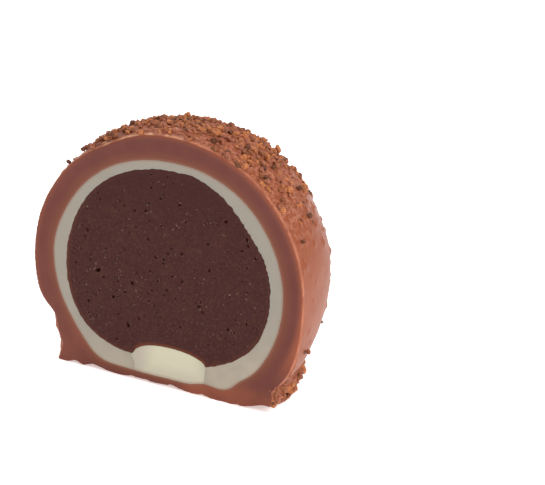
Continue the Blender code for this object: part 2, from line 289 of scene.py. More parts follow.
class PralineColours(bpy.types.PropertyGroup):
    """Colours of each kind of chocolate and crumb."""

    milk: colour_property("Milk chocolate", "Outside of the coating", 0.298, 0.092, 0.047)
    milk_deep: colour_property("Deep milk chocolate", "Darker patches of the coating", 0.240, 0.071, 0.035)
    # Painted shade: the upper flank of the coating is painted darker and deeper in colour, against the sheen
    # there.
    upper_flank_shade: colour_property("High milk chocolate", "Upper flank of the coating", 0.255, 0.063, 0.024)
    # Painted highlight: pale pinkish sheen on the crests of the coating between the crumbs on the top.
    crest_highlight: colour_property("Dusted milk chocolate", "Coating between the crumbs", 0.46, 0.190, 0.125)
    milk_cut: colour_property("Cut milk chocolate", "Cut face of the coating", 0.171, 0.0475, 0.0345)
    milk_inner: colour_property("Inner milk chocolate", "Cut face close to the shell", 0.208, 0.061, 0.034)
    milk_rim: colour_property("Cut rim", "Cut milk chocolate close to the outside", 0.320, 0.088, 0.044)
    # Painted highlight: the rounded rim of the cut is painted as a bright line where it would catch the
    # light, palest in spots on its top.
    rim_highlight: colour_property("Rim line", "Edge between the cut face and the outside", 0.450, 0.162, 0.090)
    rim_glint: colour_property("Cream rim", "Palest parts of the rim line", 0.72, 0.40, 0.24)
    seam: colour_property("Seam", "Where milk and white chocolate have run together", 0.29, 0.142, 0.088)
    white: colour_property("White chocolate", "Cut face of the shell", 0.338, 0.300, 0.250)
    white_warm: colour_property("Warm white", "Shell near the plug", 0.480, 0.400, 0.304)
    ivory: colour_property("Ivory", "Plug in the filling hole", 0.640, 0.598, 0.440)
    ivory_pale: colour_property("Pale ivory", "Plug where it meets the shell", 0.500, 0.440, 0.350)
    ganache: colour_property("Ganache", "Cut face of the filling", 0.0515, 0.0139, 0.0120)
    ganache_brown: colour_property("Brown ganache", "Warmer patches of the filling", 0.085, 0.030, 0.016)
    # Painted light: the insides of the pits are painted lighter and redder than the ganache, to lift the
    # shade that falls in them.
    ganache_pit_lift: colour_property("Deep ganache", "Inside of the pits", 0.072, 0.018, 0.013)
    melt: colour_property("Melt line", "Thin ganache over the plug", 0.165, 0.047, 0.019)
    crumb_dark: colour_property("Dark crumbs", "Roasted crumbs", 0.165, 0.055, 0.024)
    crumb_brown: colour_property("Brown crumbs", "Bare brown crumbs", 0.33, 0.104, 0.040)
    crumb_amber: colour_property("Amber crumbs", "Caramel crumbs", 0.53, 0.187, 0.064)
    crumb_coated: colour_property("Coated crumbs", "Crumbs skinned with milk chocolate", 0.41, 0.140, 0.076)
    floor: colour_property("Floor", "Plain pale floor", 0.93, 0.93, 0.93)


class PralineStage(bpy.types.PropertyGroup):
    """Camera and light."""

    azimuth: angle_property("Azimuth", "Camera's turn from the cut face to the right", 22.4)
    elevation: angle_property("Elevation", "Camera's height above the horizon", 20.6)
    roll: angle_property("Roll", "Camera's turn about its own axis", 4.4)
    key_power: light_property("Key light", "Power of the large soft light on the right", 2.6)
    fill_power: light_property("Fill light", "Power of the soft light in front on the left", 0.2)
    top_power: light_property("Top light", "Power of the soft light above, behind on the left", 1.7)
    room_light: light_property("Room light", "Brightness of the white room", 0.32)
    floor_glow: light_property("Floor glow", "Light that the floor gives by itself", 0.45)


def bell(away):
    """1 in the middle, falling off on both sides over about one half width."""
    return math.exp(-away * away)


def turn_between(angle, other):
    """The smallest turn from one direction to another."""
    return (angle - other + math.pi) % (2 * math.pi) - math.pi


def swelled(length, angle, outline_swells):
    """A length with the swells of an outline in a direction."""
    for swell_angle, half_width, height in outline_swells:
        length += height * bell(turn_between(angle, swell_angle) / half_width)
    return length


class Layer:
    """The outside of the shell or the ganache: a ball, a round corner and a flat base, tilted and swelled."""

    def __init__(self, radius, centre_z, base_z, corner, tilt, outline_swells):
        self.radius = radius
        self.centre_z = centre_z
        self.base = base_z - centre_z
        self.corner = corner
        self.corner_z = self.base + corner
        self.corner_r = math.sqrt((radius - corner) ** 2 - self.corner_z ** 2)
        self.tilt = tilt
        self.swells = outline_swells

    def plain_reach(self, direction):
        """Distance from the layer's centre to its surface without the swells."""
        rise = math.asin(max(-1.0, min(1.0, direction.z)))
        if rise >= math.atan2(self.corner_z, self.corner_r):
            return self.radius
        if rise <= math.atan2(self.base, self.corner_r):
            return self.base / direction.z
        along = self.corner_r * math.cos(rise) + self.corner_z * math.sin(rise)
        square = along ** 2 - self.corner_r ** 2 - self.corner_z ** 2 + self.corner ** 2
        return along + math.sqrt(max(0.0, square))

    def reach(self, direction):
        """Distance from the layer's centre to its surface."""
        swell = swelled(0.0, math.atan2(direction.z, direction.x), self.swells)
        return self.plain_reach(direction) + swell * math.hypot(direction.x, direction.z)

    def depth(self, x, z):
        """How far a place of the cut face lies inside the layer."""
        place = Vector((x - INNER_OFFSET, -CUT_DEPTH, z - self.centre_z))
        place = Matrix.Rotation(-self.tilt, 3, "Y") @ place
        return self.reach(place.normalized()) - place.length


SHELL = Layer(12.83 * MM, 11.22 * MM, 0.92 * MM, 3.5 * MM, 0.0, SHELL_SWELLS)
GANACHE = Layer(11.54 * MM, 11.37 * MM, 2.87 * MM, 7.0 * MM, math.radians(-2.5), GANACHE_SWELLS)


class Num:
    """A number in a material's nodes, on which Python's operators add Math nodes."""

    def __init__(self, finish, socket):
        self.finish = finish
        self.socket = socket

    def math(self, operation, *others):
        return self.finish.math(operation, self, *others)

    def __add__(self, other):
        return self.math("ADD", other)

    def __sub__(self, other):
        return self.math("SUBTRACT", other)

    def __rsub__(self, other):
        return self.finish.math("SUBTRACT", other, self)

    def __mul__(self, other):
        return self.math("MULTIPLY", other)

    def __truediv__(self, other):
        return self.math("DIVIDE", other)

    __radd__ = __add__
    __rmul__ = __mul__


class Finish:
    """A material in the making. Its own node makes every node, and its lengths are given in millimetres."""

    def __init__(self, name, gloss, softness=0.0, soft_depth=0.6):
        self.material = bpy.data.materials.new(name)
        self.material.use_nodes = True
        self.tree = self.material.node_tree
        self.shader = self.tree.nodes["Principled BSDF"]
        self.wear({
            "Specular IOR Level": gloss,
            "Subsurface Weight": softness,
            "Subsurface Radius": (1.0, 0.55, 0.35),
            "Subsurface Scale": soft_depth * MM,
        })
        self.place = self.node("ShaderNodeTexCoord").outputs["Object"]

    def feed(self, socket, value):
        """Link a socket to a value in the nodes, or set it to a constant."""
        if isinstance(value, Num):
            value = value.socket
        if isinstance(value, bpy.types.NodeSocket):
            self.tree.links.new(value, socket)
        elif socket.type == "RGBA":
            socket.default_value = (*value, 1.0)
        else:
            socket.default_value = value

    def wear(self, looks):
        """Feed the shader's sockets by their names."""
        for name, value in looks.items():
            self.feed(self.shader.inputs[name], value)
        return self.material

    def node(self, kind, settings=None, inputs=None):
        """Add a node of a type. Its settings are made first, then its sockets get values or links."""
        made = self.tree.nodes.new(kind)
        for name, value in (settings or {}).items():
            setattr(made, name, value)
        for name, value in (inputs or {}).items():
            self.feed(made.inputs[name], value)
        return made

    def parts(self, kind, vector):
        """The three numbers of a vector or a colour."""
        return [Num(self, output) for output in self.node(kind, inputs={0: vector}).outputs]

    @functools.cached_property
    def axes(self):
        """The three coordinates of the place on the surface."""
        return self.parts("ShaderNodeSeparateXYZ", self.place)

    def facing(self):
        """The three coordinates of the surface's direction."""
        return self.parts("ShaderNodeSeparateXYZ", self.node("ShaderNodeNewGeometry").outputs["Normal"])

    def cells(self, size):
        """A grey level for each cell of about a size across."""
        scale = 1.0 / (size * MM)
        made = self.node("ShaderNodeTexVoronoi", inputs={"Vector": self.place, "Scale": scale})
        return self.parts("ShaderNodeSeparateColor", made.outputs["Color"])[0]

    def math(self, operation, *values):
        made = self.node("ShaderNodeMath", {"operation": operation}, dict(enumerate(values)))
        return Num(self, made.outputs[0])

    def noise(self, size, detail=2.0, roughness=0.5):
        """Soft noise from 0 to 1 whose lumps are about a size across."""
        scale = 1.0 / (size * MM)
        inputs = {"Vector": self.place, "Scale": scale, "Detail": detail, "Roughness": roughness}
        return Num(self, self.node("ShaderNodeTexNoise", inputs=inputs).outputs["Fac"])

    def step(self, value, low, high):
        """A smooth step from 0 at the low value to 1 at the high one."""
        settings = {"interpolation_type": "SMOOTHSTEP"}
        made = self.node("ShaderNodeMapRange", settings, {"Value": value, "From Min": low, "From Max": high})
        return Num(self, made.outputs["Result"])

    def rise(self, length, low, high):
        """A smooth step from 0 at the low length to 1 at the high one."""
        return self.step(length, low * MM, high * MM)

    def fall(self, length, low, high):
        """A smooth step from 1 at the low length to 0 at the high one."""
        return 1.0 - self.rise(length, low, high)

    def behind_cut(self, near, far):
        """A smooth step from 0 to 1 between two distances behind the knife's plane."""
        return self.step(self.axes[1], -CUT_DEPTH + near * MM, -CUT_DEPTH + far * MM)

    def patches(self, size, low, high, detail=2.0, roughness=0.5):
        """Soft patches of about a size across, where noise rises from the low value to the high one."""
        return self.step(self.noise(size, detail, roughness), low, high)

    def inside(self, layer):
        """How far the place on the surface lies inside a layer's outline."""
        across, depth, height = self.axes
        across = across - INNER_OFFSET
        height = height - layer.centre_z
        x = across * math.cos(layer.tilt) - height * math.sin(layer.tilt)
        z = across * math.sin(layer.tilt) + height * math.cos(layer.tilt)
        flat = (x * x + depth * depth).math("SQRT")
        away = (flat * flat + z * z).math("SQRT")
        along = (flat * layer.corner_r + z * layer.corner_z) / away
        square = along * along - layer.corner_r ** 2 - layer.corner_z ** 2 + layer.corner ** 2
        at_corner = along + square.math("MAXIMUM", 0.0).math("SQRT")
        at_base = away * layer.base / z
        below = (z * layer.corner_r).math("LESS_THAN", flat * layer.corner_z)
        on_base = (z * layer.corner_r).math("LESS_THAN", flat * layer.base)
        reach = layer.radius + below * (at_corner - layer.radius)
        reach = reach + on_base * (at_base - reach)
        angle = z.math("ARCTAN2", x)
        from_axis = (x * x + z * z).math("SQRT") / away
        for swell_angle, half_width, swell_height in layer.swells:
            turn = (angle - swell_angle).math("WRAP", math.pi, -math.pi) / half_width
            reach = reach + (turn * turn * -1.0).math("EXPONENT") * from_axis * swell_height
        return reach - away

    def mix(self, factor, first, second):
        """A colour between two."""
        made = self.node("ShaderNodeMix", {"data_type": "RGBA"}, {0: factor, 6: first, 7: second})
        return made.outputs[2]

    def bump(self, height, depth):
        """The surface's direction under a relief of a depth."""
        inputs = {"Height": height, "Distance": depth * MM, "Strength": 1.0}
        return self.node("ShaderNodeBump", inputs=inputs).outputs["Normal"]

    def worn(self, colour, roughness, grain=None, depth=0.0):
        """The finished material, from what changes over its surface."""
        looks = {"Base Color": colour, "Roughness": roughness}
        if grain is not None:
            looks["Normal"] = self.bump(grain, depth)
        return self.wear(looks)


def toned(colour, *shares):
    """A colour made darker or paler, by one share or by a share for each of its three parts."""
    return [part * shares[i % len(shares)] for i, part in enumerate(colour)]


def milk_outside(finish, colours, on_top):
    """Colour of the coating's outside: cloudy, with painted shade on its upper part, painted highlights on
    the crests and painted shade in the troughs between the crumbs, and a painted highlight along the cut.
    """
    across, height = finish.axes[0], finish.axes[2]
    clouds = finish.patches(4.2, 0.35, 0.70, 3.0, 0.6)
    colour = finish.mix(clouds * 0.55, colours.milk, colours.milk_deep)
    # Painted shade: darker, deeper colour on the upper part of the coating, from 12 to 18 mm up.
    colour = finish.mix(finish.rise(height, 12.0, 18.0) * 0.80, colour, colours.upper_flank_shade)
    # Painted highlight on the crests between the crumbs on the top, and painted shade in the troughs between
    # them.
    lit_crests = finish.patches(0.42, 0.44, 0.62, roughness=0.7)
    colour = finish.mix(lit_crests * on_top * 0.6, colour, colours.crest_highlight)
    shaded_troughs = finish.patches(0.60, 0.42, 0.30, roughness=0.7)
    colour = finish.mix(shaded_troughs * on_top * 0.30, colour, toned(colours.milk_deep, 0.6))
    # Painted highlight along the cut's rounded rim, broken by a gap at the top, with paler painted glints on
    # the top to the left.
    high = finish.rise(height, 22.5, 24.5)
    gap = finish.rise(across, -2.3, -1.8) * finish.fall(across, -1.1, -0.6)
    rim = 1.0 - finish.behind_cut(0.14, 0.34)
    rim = rim * (0.55 + 0.45 * finish.patches(1.6, 0.40, 0.60)) * (1.0 - 0.8 * gap * high)
    colour = finish.mix(rim, colour, colours.rim_highlight)
    glint_spots = high * finish.fall(across, 1.5, 5.0) * finish.patches(0.9, 0.40, 0.56)
    return finish.mix(rim * glint_spots * 0.75, colour, colours.rim_glint)


def milk_inside(finish, colours):
    """Colour of the coating's cut face: warmer by the shell, by the outside and low at both ends."""
    across, depth, height = finish.axes
    clouds = finish.patches(3.0, 0.3, 0.75, 3.0, 0.55)
    colour = finish.mix(clouds, toned(colours.milk_cut, 0.86), colours.milk_cut)
    from_shell = finish.inside(SHELL) * -1.0
    colour = finish.mix(finish.fall(from_shell, 0.2, 1.1) * 0.7, colour, colours.milk_inner)
    up = height - BALL_CENTRE.z
    away = (across * across + depth * depth + up * up).math("SQRT")
    near_rim = finish.rise(away - BALL_RADIUS, -0.75, 0.15)
    to_right = finish.rise(across, -16.0, 6.0)
    above_foot = finish.rise(height, 2.6, 7.5)
    colour = finish.mix(near_rim * above_foot * (0.58 + 0.37 * to_right), colour, colours.milk_rim)
    low_right = finish.fall(height, 1.0, 2.8) * finish.rise(across, 1.5, 3.5)
    colour = finish.mix(low_right * (0.35 + 0.4 * clouds), colour, colours.milk_rim)
    low_left = finish.fall(height, 3.0, 8.0) * finish.fall(across, -9.5, -5.5)
    colour = finish.mix(low_left * (0.10 + 0.22 * clouds), colour, colours.milk_rim)
    return finish.mix(finish.fall(from_shell, -0.05, 0.36) * 0.50, colour, colours.seam)


def milk_finish(colours):
    """Satin milk chocolate outside, and a matt cut face."""
    finish = Finish("milk_chocolate", 0.20, softness=0.12, soft_depth=0.5)
    faces_front = finish.step(finish.facing()[1] * -1.0, 0.80, 0.94)
    cut = (1.0 - finish.behind_cut(0.12, 0.24)) * faces_front
    on_top = finish.rise(finish.axes[2], 15.0, 21.0)
    colour = finish.mix(cut, milk_outside(finish, colours, on_top), milk_inside(finish, colours))
    roughness = 0.40 + 0.14 * finish.noise(1.1) + cut * 0.14 - on_top * 0.10
    return finish.worn(colour, roughness, finish.noise(0.22, 3.0, 0.6), 0.016)


def white_finish(colours):
    """Soft, slightly waxy white chocolate that turns warmer near the base."""
    finish = Finish("white_chocolate", 0.25, softness=0.25, soft_depth=0.7)
    across, height = finish.axes[0], finish.axes[2]
    low = finish.fall(height + across * -0.25, 0.0, 7.5)
    mottle = finish.noise(1.8, 3.0, 0.55)
    colour = finish.mix(low * 0.8 + mottle * 0.15, colours.white, colours.white_warm)
    colour = finish.mix(finish.step(mottle, 0.30, 0.75) * 0.5, colour, toned(colours.white, 0.93))
    seam = finish.fall(finish.inside(SHELL), 0.0, 0.26)
    colour = finish.mix(seam * 0.50, colour, colours.seam)
    return finish.worn(colour, 0.42 + 0.14 * mottle, finish.noise(0.25, 3.0, 0.6), 0.010)


def ivory_finish(colours):
    """Warm ivory plug, greyer at both sides and at its lower edge."""
    finish = Finish("ivory_chocolate", 0.25, softness=0.30, soft_depth=0.8)
    across, height = finish.axes[0], finish.axes[2]
    low = finish.fall(height, 1.0, 2.9)
    left = finish.fall(across - PLUG_OFFSET, -3.9, -1.2)
    right = finish.rise(across - PLUG_OFFSET, 2.2, 4.9)
    pale = (low * 0.55).math("MAXIMUM", left * 0.95).math("MAXIMUM", right * 0.95)
    clouds = finish.noise(1.6, 3.0)
    colour = finish.mix(pale + clouds * 0.12, colours.ivory, colours.ivory_pale)
    seam = finish.fall(finish.inside(SHELL), 0.0, 0.40)
    colour = finish.mix(seam * 0.45, colour, colours.seam)
    return finish.worn(colour, 0.40 + 0.12 * clouds, finish.noise(0.25, 3.0, 0.6), 0.008)


def from_plug(finish):
    """How far the place on the surface lies from the plug's dome."""
    across, depth, height = finish.axes
    rise = PLUG_TOP_Z - PLUG_SHOULDER_Z
    side = (across - PLUG_OFFSET) / PLUG_RADIUS
    back = depth / PLUG_RADIUS
    up = (height - PLUG_SHOULDER_Z) / rise
    out = (side * side + back * back + up * up).math("SQRT")
    steep_side = side / PLUG_RADIUS
    steep_up = up / rise
    return (out - 1.0) * out / (steep_side * steep_side + steep_up * steep_up).math("SQRT")


def ganache_finish(colours):
    """Dense matt ganache, with dark pits, and thin and orange where it lies over the plug."""
    finish = Finish("dark_ganache", 0.12, softness=0.05, soft_depth=0.3)
    across, height = finish.axes[0], finish.axes[2]
    fine = finish.noise(0.28, 4.0, 0.65)
    clouds = finish.noise(2.6, 3.0, 0.6)
    mottled = 1.0 - 0.6 * finish.rise(height, 15.5, 21.0)
    specks = finish.step(fine, 0.46, 0.70) * mottled
    colour = finish.mix(specks * 0.60 + clouds * 0.14, colours.ganache, toned(colours.ganache, 2.0, 2.5, 2.6))
    brown = finish.patches(0.9, 0.53, 0.68, 3.0, 0.6) * mottled
    colour = finish.mix(brown * 0.36, colour, colours.ganache_brown)
    # Painted light: places deep behind the cut, in the pits, are painted lighter to lift their shade.
    colour = finish.mix(finish.behind_cut(0.11, 0.26), colour, colours.ganache_pit_lift)
    film = finish.fall(from_plug(finish), 0.02, 0.45)
    edge = finish.fall(finish.inside(GANACHE), 0.05, 0.50)
    low = finish.fall(height, 5.0, 15.0)
    left = finish.fall(across, -11.2, -8.5)
    thin = (film * 0.85).math("MAXIMUM", edge * (0.05 + 0.22 * low + 0.26 * left))
    colour = finish.mix(thin, colour, colours.melt)
    return finish.worn(colour, 0.50 + 0.18 * fine, fine, 0.030)


def crumb_finish(name, base, dark):
    """Broken nougat: each crumb has a tone of its own, with painted shade in darker hollows."""
    finish = Finish(name, 0.25, softness=0.08, soft_depth=0.25)
    colour = finish.mix(finish.cells(0.8) * 0.50, base, dark)
    # Painted shade: darker patches stand in for shade in the crumbs' hollows.
    shaded_hollows = 1.0 - finish.patches(0.20, 0.38, 0.62, 3.0, 0.7)
    colour = finish.mix(shaded_hollows * 0.40, colour, toned(dark, 0.65))
    return finish.worn(colour, 0.42 + 0.25 * finish.noise(0.3), finish.noise(0.12, 3.0, 0.7), 0.020)


def grain_finish(base):
    """Pale grains that the knife opened in the ganache."""
    finish = Finish("ganache_grain", 0.25)
    colour = finish.mix(finish.cells(0.5), base, toned(base, 0.45))
    return finish.worn(colour, 0.35 + 0.2 * finish.noise(0.2))


def floor_finish(colours, glow):
    """Plain pale floor that glows a little, as a light table does."""
    finish = Finish("pale_floor", 0.2)
    finish.wear({"Emission Color": (1.0, 1.0, 1.0), "Emission Strength": glow})
    shade = finish.noise(200.0)
    return finish.worn(finish.mix(shade * 0.03, colours.floor, toned(colours.floor, 0.9)), 0.8 + 0.05 * shade)


def wave(point):
    """Uneven thickness of the coating at a point of its surface."""
    return WAVE_HEIGHT * noise.noise(point / WAVE_LENGTH)


def hollow(point):
    """Depth of the hollow low on the left flank, less the height of the sag on the right."""
    away = (point - HOLLOW_CENTRE).length / HOLLOW_RADIUS
    from_sag = (point - SAG_CENTRE).length / SAG_RADIUS
    return HOLLOW_DEPTH * bell(away) - SAG_HEIGHT * bell(from_sag)


def dent(point):
    """Depth of the thin place on the left shoulder."""
    return DENT_DEPTH * bell((point - DENT_CENTRE).length / DENT_RADIUS)


def ball_point(direction):
    """The point of the coated ball that lies in a direction from its centre."""
    point = BALL_CENTRE + direction * BALL_RADIUS
    return point + direction * (wave(point) - hollow(point))


def outward_at(angle):
    """The level direction at a turn round the axis."""
    return Vector((math.cos(angle), math.sin(angle), 0.0))


def any_direction(rng):
    """A random vector that favours no direction."""
    return Vector((rng.gauss(0.0, 1.0), rng.gauss(0.0, 1.0), rng.gauss(0.0, 1.0)))


def foot_reach(angle):
    """Radius of the foot in a direction round the axis."""
    edge = outward_at(angle) * FOOT_REACH
    return swelled(FOOT_REACH, angle, FOOT_BUMPS) + 2 * WAVE_HEIGHT * noise.noise(edge / (0.4 * WAVE_LENGTH))


def foot_run_out(angle, height):
    """How far the foot stands out beyond its plain radius, in a direction and at a height."""
    share = min(1.0, FOOT_CONTACT + (1.0 - FOOT_CONTACT) * height / (FOOT_HEIGHT - FOOT_EDGE))
    return share * (foot_reach(angle) - FOOT_REACH)


def foot_radius(angle, height):
    """Radius of the foot's side at a height. Above its upper edge it falls away steeply."""
    radius = FOOT_REACH + foot_run_out(angle, height)
    over_edge = height - FOOT_HEIGHT + FOOT_EDGE
    if over_edge > FOOT_EDGE:
        return radius - FOOT_EDGE - 6.0 * (over_edge - FOOT_EDGE)
    if over_edge > 0.0:
        return radius - FOOT_EDGE + math.sqrt(FOOT_EDGE ** 2 - over_edge ** 2)
    return radius


def crumb_sizes(count, largest):
    """Radii from the largest crumb to the smallest, with few large ones."""
    spread = largest - CRUMB_SMALLEST
    return [CRUMB_SMALLEST + spread * (1.0 - i / count) ** 2 for i in range(count)]


def dome_density(direction):
    """Share of the crumbs thrown in a direction that stick: most on the top, fewer on its left, few below."""
    on_top = 1.0 / (1.0 + math.exp((FLANK_LEVEL - direction.z) * 10.0))
    on_left = 1.0 / (1.0 + math.exp((direction.x + 0.22) * 12.0))
    return 0.04 + 0.96 * on_top * (1.0 - 0.6 * on_left)


def dome_place(rng):
    """A random point of the ball where a crumb sticks, with the direction in which it stands off."""
    while True:
        direction = any_direction(rng).normalized()
        point = ball_point(direction)
        if point.z > FOOT_HEIGHT + 1 * MM and rng.random() < dome_density(direction):
            return point, direction


def foot_place(rng):
    """A random point on the side of the foot, most at the right front, with the direction it faces."""
    angle = -0.25 + (math.pi + 0.1) * rng.random() ** 1.6
    height = rng.uniform(0.3, 0.95) * FOOT_HEIGHT
    outward = outward_at(angle)
    over_edge = max(0.0, height - FOOT_HEIGHT + FOOT_EDGE)
    set_back = FOOT_EDGE - math.sqrt(FOOT_EDGE ** 2 - over_edge ** 2)
    radius = FOOT_REACH + foot_run_out(angle, height) - set_back
    point = outward * radius + Vector((0.0, 0.0, height))
    return point, (outward + Vector((0.0, 0.0, over_edge / FOOT_EDGE))).normalized()


def holds(point, direction, radius):
    """Whether a crumb of a radius is rooted behind the cut, and not too large or too low for its place."""
    behind_cut = point.y > -CUT_DEPTH + 0.3 * radius
    bare = point.x < BARE_SIDE.x and point.z < BARE_SIDE.z
    on_flank = point.z > FOOT_HEIGHT and direction.z < FLANK_LEVEL
    return behind_cut and not bare and (radius < FLANK_LARGEST or not on_flank)


def crumb_places(rng):
    """Points, directions and radii of the large crumbs, each clear of those before it."""
    places = []
    throws = ((dome_place, DOME_CRUMBS, DOME_LARGEST), (foot_place, FOOT_CRUMBS, FOOT_LARGEST))
    for throw, count, largest in throws:
        for radius in crumb_sizes(count, largest):
            for attempt in range(60):
                point, direction = throw(rng)
                if holds(point, direction, radius) and all(
                    (point - other).length > CRUMB_SPACING * (radius + other_radius)
                    for other, away, other_radius in places
                ):
                    places.append((point, direction, radius))
                    break
    return places


def clumped_place(rng, large):
    """A random point of the ball close to one of the large crumbs, with the direction it faces."""
    centre, outward, core = rng.choice(large)
    direction = (centre + any_direction(rng) * 1.05 * core - BALL_CENTRE).normalized()
    return ball_point(direction), direction


def fine_crumb_places(rng, count, large):
    """Points, directions and radii of the fine crumbs: most in clumps on the top, some on the foot."""
    places = []
    on_dome = [place for place in large if place[0].z > BALL_CENTRE.z]
    while len(places) < count:
        on_foot = rng.random() < ON_FOOT_SHARE
        if on_foot:
            point, direction = foot_place(rng)
        elif rng.random() < IN_CLUMPS_SHARE:
            point, direction = clumped_place(rng, on_dome)
        else:
            point, direction = dome_place(rng)
        radius = (0.08 + 0.22 * rng.random() ** 1.5) * MM
        high = 1.0 / (1.0 + math.exp((FINE_LEVEL - direction.z) * 14.0))
        sticks = on_foot or rng.random() < LOW_SHARE + (1.0 - LOW_SHARE) * high
        if sticks and holds(point, direction, radius) and point.z > 1.2 * radius:
            places.append((point, direction, radius))
    return places


def random_kind(rng, point):
    """The kind of a crumb, drawn by where it lies."""
    shares = TOP_SHARES
    if point.z < FOOT_HEIGHT:
        shares = FOOT_SHARES
    elif point.z < BALL_CENTRE.z:
        shares = LOW_SHARES
    return rng.choices(CRUMB_KINDS, shares)[0]


def add_object(name, data):
    """A new object in the scene."""
    made = bpy.data.objects.new(name, data)
    bpy.context.scene.collection.objects.link(made)
    return made


def new_piece(name, verts, faces):
    """A mesh object from points and faces."""
    mesh = bpy.data.meshes.new(name)
    mesh.from_pydata(verts, [], faces)
    return add_object(name, mesh)


def ringed_piece(name, first, rings, last):
    """A closed piece from its first pole, its rings of points and its last pole."""
    columns = len(rings[0])
    verts = [first] + [point for ring in rings for point in ring] + [last]
    last_ring = 1 + (len(rings) - 1) * columns
    faces = []
    for column in range(columns):
        following = (column + 1) % columns
        faces.append((0, 1 + column, 1 + following))
        for start in range(1, last_ring, columns):
            below = start + columns
            faces.append((start + column, below + column, below + following, start + following))
        faces.append((last_ring + column, len(verts) - 1, last_ring + following))
    piece = new_piece(name, verts, faces)
    shape = bmesh.new()
    shape.from_mesh(piece.data)
    if shape.calc_volume(signed=True) < 0.0:
        bmesh.ops.reverse_faces(shape, faces=shape.faces)
    shape.to_mesh(piece.data)
    shape.free()
    return piece


def carve(piece, cutter, operation="DIFFERENCE"):
    """Change a piece by a cutter, which is then dropped."""
    change = piece.modifiers.new("carve", "BOOLEAN")
    change.operation = operation
    change.object = cutter
    change.solver = "MANIFOLD"
    depsgraph = bpy.context.evaluated_depsgraph_get()
    mesh = bpy.data.meshes.new_from_object(piece.evaluated_get(depsgraph))
    piece.modifiers.clear()
    piece.data = mesh
    bpy.data.objects.remove(cutter)


def finished(piece, material, node, sharp=40.0):
    """Shade a piece, give it its material and tie it to the frame."""
    piece.data.materials.clear()
    piece.data.materials.append(material)
    piece.data.shade_smooth()
    piece.data.set_sharp_from_angle(angle=math.radians(sharp))
    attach(piece, "root")
    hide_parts(node)


class Bumps:
    """Soft bumps on the coating: chocolate drawn up round the crumbs, and crumbs that it covers."""

    def __init__(self, places):
        self.places = places
        self.tree = kdtree.KDTree(len(places))
        for index, (point, width, height) in enumerate(places):
            self.tree.insert(point, index)
        self.tree.balance()
        self.reach = 2.2 * max(width for point, width, height in places)

    def height(self, point):
        total = 0.0
        for found, index, away in self.tree.find_range(point, self.reach):
            width, height = self.places[index][1:]
            total = max(total, height * math.exp(-(away / width) ** 2))
        return total


def coating_bumps(sizes):
    """The bumps of the coating, in seeded places."""
    rng = random.Random(CRUMB_SEED)
    places = [(point, 1.25 * radius, 0.30 * radius) for point, direction, radius in crumb_places(rng)]
    rng = random.Random(COVERED_SEED)
    for index in range(sizes.covered_crumbs):
        throw = foot_place if rng.random() < ON_FOOT_SHARE else dome_place
        point, direction = throw(rng)
        width = (0.15 + 0.27 * rng.random() ** 1.5) * MM
        places.append((point, width, rng.uniform(0.25, 0.60) * width))
    for x, z, width, height in COATING_DROPS:
        places.append((Vector((x * MM, -CUT_DEPTH + 0.1 * MM, z * MM)), width * MM, height * MM))
    return Bumps(places)


def smooth_larger(first, second, blend):
    """The larger of two numbers, with a soft change over from one to the other."""
    share = min(1.0, max(0.0, 0.5 + 0.5 * (first - second) / blend))
    return first * share + second * (1.0 - share) + blend * share * (1.0 - share)


def coating_heights():
    """Heights of the coating's rings, by angle on the ball and by even steps on the foot."""
    turning = 4.2 * MM
    last = math.acos((turning - BALL_CENTRE.z) / BALL_RADIUS)
    steps = round(last * BALL_RADIUS / SKIN_STEP)
    heights = [BALL_CENTRE.z + BALL_RADIUS * math.cos(last * (i + 1) / steps) for i in range(steps)]
    steps = round(turning / (0.8 * SKIN_STEP))
    return heights + [turning * (1.0 - (i + 1) / steps) for i in range(steps)]


def coating_angles():
    """Directions of the coating's columns: close behind the cut, wide where the knife takes it off."""
    kept_start, kept_end = math.radians(-22.0), math.radians(202.0)
    kept = round((kept_end - kept_start) * BALL_RADIUS / SKIN_STEP)
    angles = [kept_start + (kept_end - kept_start) * i / kept for i in range(kept)]
    return angles + [kept_end + (2 * math.pi - kept_end + kept_start) * i / 24 for i in range(24)]


def coating_point(angle, height, bumps, sizes):
    """A point of the coating's outside at a direction round the axis and a height of its ring."""
    level = max(-1.0, min(1.0, (height - BALL_CENTRE.z) / BALL_RADIUS))
    flat = math.sqrt(1.0 - level * level)
    direction = Vector((math.cos(angle) * flat, math.sin(angle) * flat, level))
    point = ball_point(direction)
    outward = outward_at(angle)
    raised = direction
    if height < 4.5 * MM:
        joined = smooth_larger(math.hypot(point.x, point.y), foot_radius(angle, height), 0.5 * MM)
        point = outward * joined + Vector((0.0, 0.0, height))
        on_foot = min(1.0, max(0.0, 1.0 - (height - FOOT_HEIGHT) / (1.5 * MM)))
        raised = (direction * (1.0 - on_foot) + outward * on_foot).normalized()
    rough_skin = 0.3 + 0.7 * dome_density(direction)
    lift = sizes.ripple * noise.noise(point / (1.6 * MM))
    lift += 0.9 * sizes.ripple * rough_skin * noise.noise(point / (0.55 * MM))
    lift += bumps.height(point) - dent(point)
    point = point + raised * lift
    if height < FOOT_HEIGHT:
        point.z = height + base_relief(point, sizes.base_lift) * (1.0 - height / FOOT_HEIGHT) ** 2
    return point


def base_relief(point, lift):
    """Height of the base over the plate: arches at the front edge, and small notches all round."""
    place = Vector((point.x, point.y, 0.0))
    notch = 1.4 * lift * max(0.0, noise.noise(place / (1.1 * MM) + Vector((3.1, 7.7, 0.4))))
    crumbly = 0.6 * lift * max(0.0, noise.noise(place / (0.35 * MM)))
    arch = 0.0
    for x, half_width, height in BASE_ARCHES:
        arch += height * MM * bell((point.x - x * MM) / (half_width * MM))
    return notch + crumbly + arch * bell((point.y + CUT_DEPTH) / ARCH_DEPTH)


